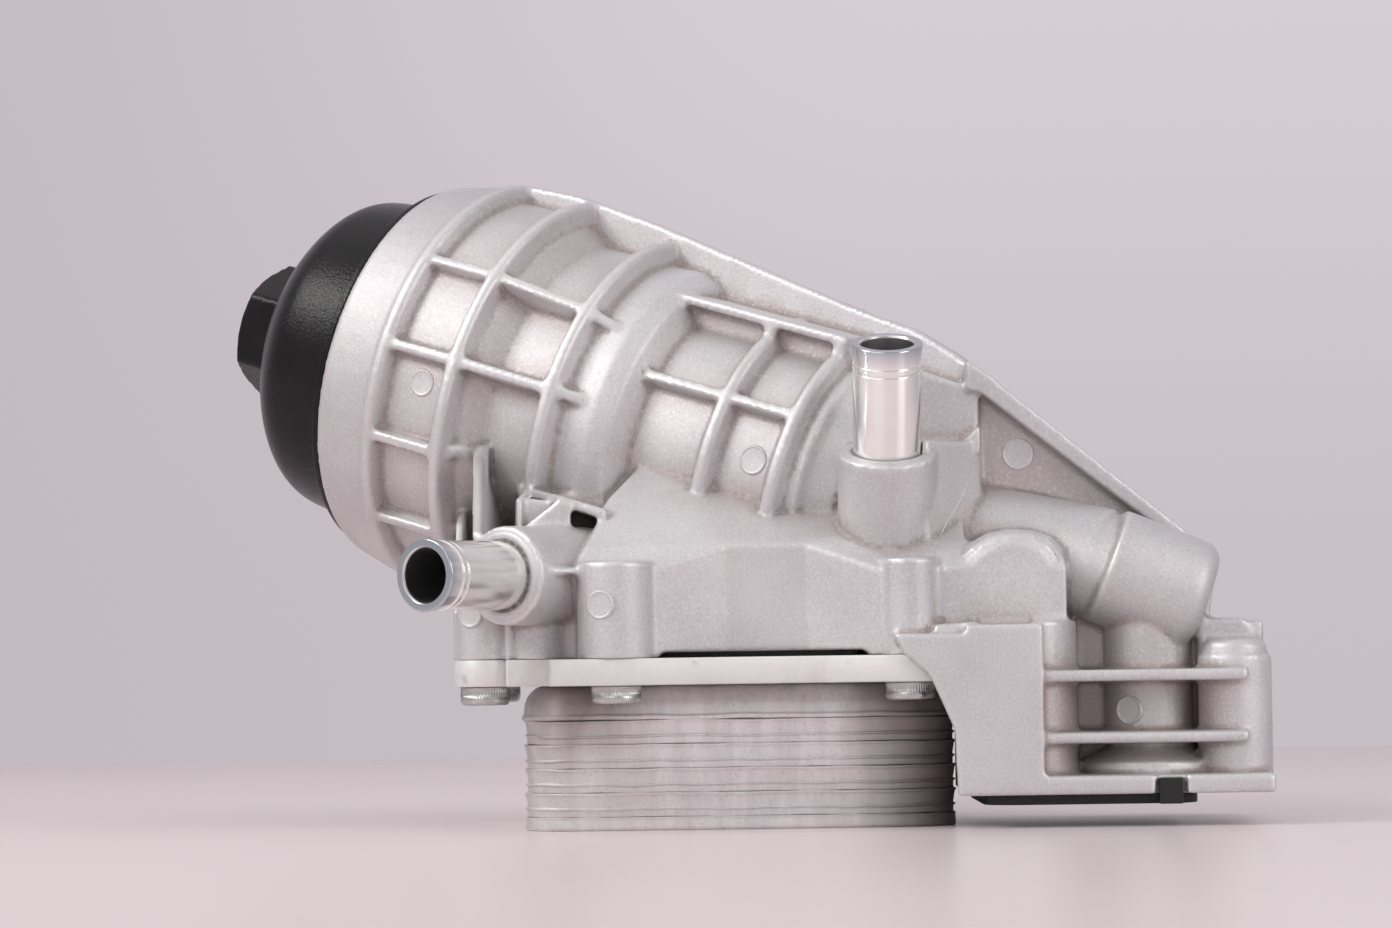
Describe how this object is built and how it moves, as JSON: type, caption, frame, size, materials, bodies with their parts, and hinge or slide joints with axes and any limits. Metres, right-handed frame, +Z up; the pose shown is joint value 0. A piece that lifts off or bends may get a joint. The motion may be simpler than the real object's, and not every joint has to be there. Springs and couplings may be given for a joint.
{
  "type": "oil filter housing",
  "caption": "Die-cast oil filter housing with a black screw cap, a flanged engine mount, coolant stubs and a stacked-plate oil cooler.",
  "frame": {"origin": "middle of the underside of the cooler's bottom plate, which the part stands on", "axes": "+X along the cooler's long side toward the engine flange, +Y away from the coolant stub side, +Z up from the cooler to the filter chamber"},
  "size_m": [0.285, 0.1967, 0.1801],
  "materials": {
    "cast_housing": "sandy die-cast aluminium, satin",
    "cap_plastic": "satin black moulded plastic",
    "element_plastic": "plain moulded plastic",
    "seal_rubber": "moulded rubber",
    "gasket_rubber": "moulded rubber, faint sheen",
    "filter_paper": "pleated filter paper",
    "spring_steel": "bright spring wire",
    "valve_steel": "turned steel",
    "stub_metal": "turned and polished",
    "plate_metal": "matt sheet with sawn edges",
    "cooler_metal": "brazed sheet with brownish flux marks",
    "fin_metal": "brazed thin sheet",
    "zinc_screws": "zinc plated"
  },
  "bodies": {
    "housing_body": {"housing": "cast_housing", "standpipe": "element_plastic", "bypass_spring": "spring_steel", "non_return_seat": "valve_steel", "non_return_cage": "valve_steel", "non_return_spring": "spring_steel", "side_coolant_stub": "stub_metal", "top_coolant_stub": "stub_metal", "mounting_plate": "plate_metal", "cooler_top_tray": "cooler_metal", "cooler_tray_4": "cooler_metal", "cooler_tray_3": "cooler_metal", "cooler_tray_2": "cooler_metal", "cooler_tray_1": "cooler_metal", "cooler_base_plate": "cooler_metal", "cooler_fins_5": "fin_metal", "cooler_fins_4": "fin_metal", "cooler_fins_3": "fin_metal", "cooler_fins_2": "fin_metal", "cooler_fins_1": "fin_metal", "port_seals": "seal_rubber", "cooler_screws": "zinc_screws", "engine_gasket": "gasket_rubber"},
    "element_body": {"filter_paper": "filter_paper", "filter_core_tube": "element_plastic", "element_top_disc": "element_plastic", "element_bottom_disc": "element_plastic"},
    "cap_body": {"filter_cap": "cap_plastic", "cap_seal_ring": "seal_rubber"},
    "bypass_body": {"bypass_piston": "element_plastic"},
    "non_return_body": {"non_return_disc": "valve_steel"}
  },
  "joints": [
    {"name": "cap_travel", "type": "slide", "parent": "housing_body", "child": "element_body", "axis": [-0.8496, 0.4517, 0.2723], "range_m": [0, 0.0151]},
    {"name": "cap_turn", "type": "hinge", "parent": "element_body", "child": "cap_body", "pos_m": [-0.088, 0.06, 0.128], "axis": [-0.8496, 0.4517, 0.2723], "range_deg": [0, 1800]},
    {"name": "bypass_lift", "type": "slide", "parent": "housing_body", "child": "bypass_body", "axis": [0.8496, -0.4517, -0.2723], "range_m": [0, 0.005], "stiffness_N_per_m": 3000, "springref_m": -0.004, "deforming": ["bypass_spring"]},
    {"name": "non_return_lift", "type": "slide", "parent": "housing_body", "child": "non_return_body", "axis": [0, 0, 1], "range_m": [0, 0.004], "stiffness_N_per_m": 200, "springref_m": -0.003, "deforming": ["non_return_spring"]}
  ],
  "couplings": [
    {"joint": "cap_travel", "follows": "cap_turn", "m_per_rad": 0.00047746}
  ]
}
